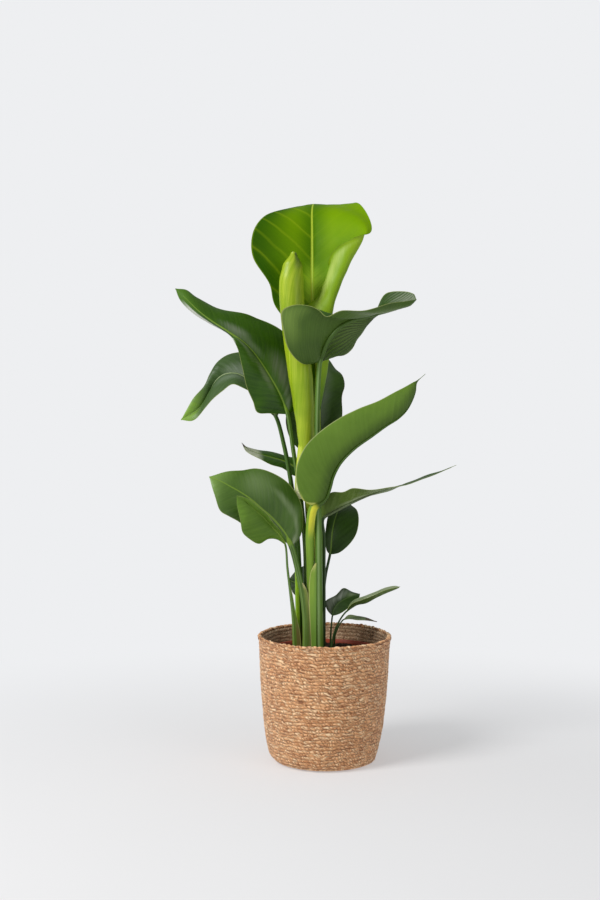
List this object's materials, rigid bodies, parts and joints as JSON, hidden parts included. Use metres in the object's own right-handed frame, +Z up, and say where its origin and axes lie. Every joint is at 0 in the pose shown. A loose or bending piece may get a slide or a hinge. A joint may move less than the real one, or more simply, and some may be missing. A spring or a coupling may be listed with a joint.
{
  "type": "potted bird of paradise",
  "caption": "Tall house plant with large paddle leaves on long upright stalks, in a plastic pot inside a round woven seagrass basket",
  "frame": {"origin": "centre of the flat underside of the basket", "axes": "+Z up, +X to the right and +Y to the back when the plant is seen from its front"},
  "size_m": [0.5407, 0.3422, 1.1057],
  "materials": {
    "seagrass": "matt twisted seagrass cord",
    "pot_plastic": "matt terracotta-coloured plastic",
    "soil": "loose dark potting soil",
    "leaf": "smooth dark green leaf with a soft sheen",
    "leaf_young": "smooth bright green young leaf with a soft sheen",
    "leaf_spear": "smooth yellow-green rolled leaf with a soft sheen"
  },
  "bodies": {
    "root": {"basket": "seagrass", "nursery_pot": "pot_plastic", "soil": "soil", "leaf_crown_open": "leaf_young", "leaf_spear_rolled": "leaf_spear", "leaf_dark_mid": "leaf", "leaf_left_upper": "leaf", "leaf_left_behind": "leaf", "leaf_right_behind": "leaf", "leaf_right_big": "leaf", "leaf_right_thin": "leaf", "leaf_right_low": "leaf", "leaf_left_low": "leaf", "leaf_left_front": "leaf", "leaf_left_small": "leaf", "leaf_back_low": "leaf", "leaf_side_broad": "leaf", "leaf_side_narrow": "leaf", "leaf_side_withered": "leaf"}
  },
  "joints": []
}
